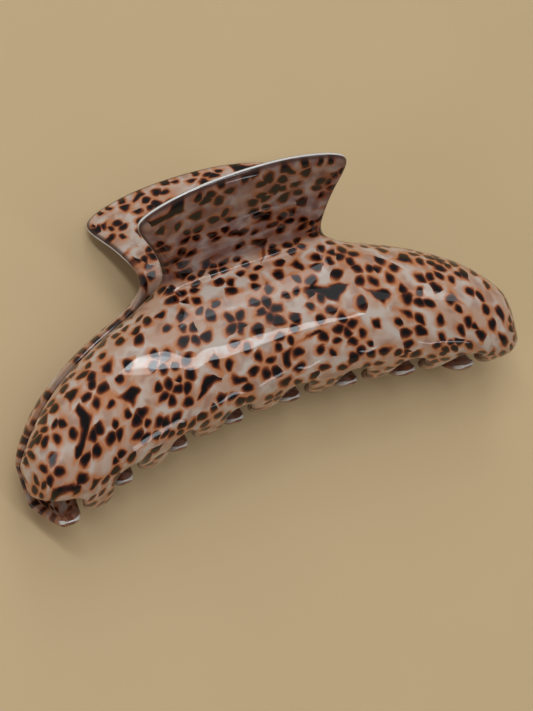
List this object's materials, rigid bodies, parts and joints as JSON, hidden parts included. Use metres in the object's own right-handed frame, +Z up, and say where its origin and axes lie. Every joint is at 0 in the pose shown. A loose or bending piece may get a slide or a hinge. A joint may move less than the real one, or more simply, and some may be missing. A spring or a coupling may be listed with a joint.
{
  "type": "claw clip",
  "caption": "Large hair claw: two arched jaws with interlocking teeth and flared handles, on one hinge pin, held shut by a torsion spring.",
  "frame": {"origin": "on the table plane, under the middle of the clip as it lies closed on its rear jaw", "axes": "+X along the hinge pin, +Y from the teeth towards the handles, +Z up from the table, from the rear jaw to the front jaw"},
  "size_m": [0.1122, 0.0668, 0.0558],
  "materials": {
    "front_shell": "polished spotted tortoiseshell acetate look",
    "rear_shell": "polished spotted tortoiseshell acetate look",
    "pin_steel": "satin, drawn",
    "spring_steel": "bright, drawn wire"
  },
  "bodies": {
    "rear": {"rear_jaw": "rear_shell", "hinge_pin": "pin_steel", "torsion_spring": "spring_steel"},
    "front": {"front_jaw": "front_shell"}
  },
  "joints": [
    {"name": "jaw_hinge", "type": "hinge", "parent": "rear", "child": "front", "pos_m": [0, 0.00642, 0.02241], "axis": [-1, 0, 0], "range_deg": [0, 90], "stiffness_Nm_per_rad": 0.1, "springref_deg": -57.3, "deforming": ["torsion_spring"]}
  ]
}
